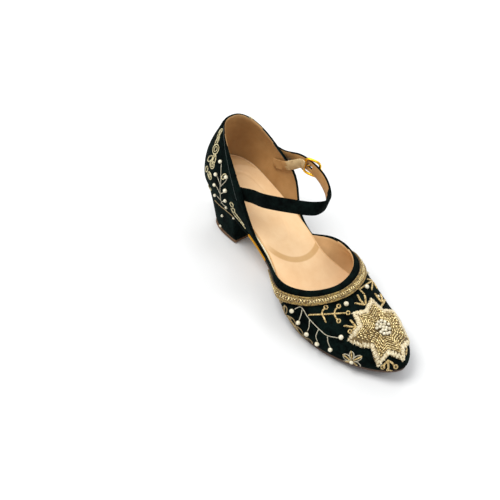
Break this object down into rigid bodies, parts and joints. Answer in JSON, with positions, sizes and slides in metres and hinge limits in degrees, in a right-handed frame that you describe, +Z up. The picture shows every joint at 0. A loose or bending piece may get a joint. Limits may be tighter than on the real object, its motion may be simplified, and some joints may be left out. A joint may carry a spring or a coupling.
{
  "type": "block heel shoe",
  "caption": "Woman's left block heel shoe in dark green velvet with an ankle strap, gold braid, a star patch and beaded sprigs",
  "frame": {"origin": "on the heel's ground face, 11 mm ahead of its back edge, on the floor", "axes": "+X to the toe, +Y to the outer side of this left shoe, +Z up"},
  "size_m": [0.2484, 0.0924, 0.1015],
  "materials": {
    "velvet": "short cotton velvet, near-black green",
    "sole_leather": "waxed orange-brown leather",
    "top_piece_rubber": "matt brown rubber",
    "insole_leather": "smooth peach-beige leather, lightly embossed",
    "gold_piping": "metallised pale gold leather",
    "gold_braid": "woven metallic thread",
    "gold_embroidery": "raised metallic embroidery with beads",
    "buckle_metal": "polished gold plating",
    "elastic": "woven elastic"
  },
  "bodies": {
    "root": {"outsole": "sole_leather", "heel": "velvet", "heel_top_piece": "top_piece_rubber", "insole": "insole_leather", "insole_piping": "gold_piping", "upper": "velvet", "vamp_braid": "gold_braid", "star_embroidery": "gold_embroidery", "strap": "velvet", "buckle_frame": "buckle_metal", "buckle_prong": "buckle_metal", "buckle_tab": "elastic"}
  },
  "joints": []
}
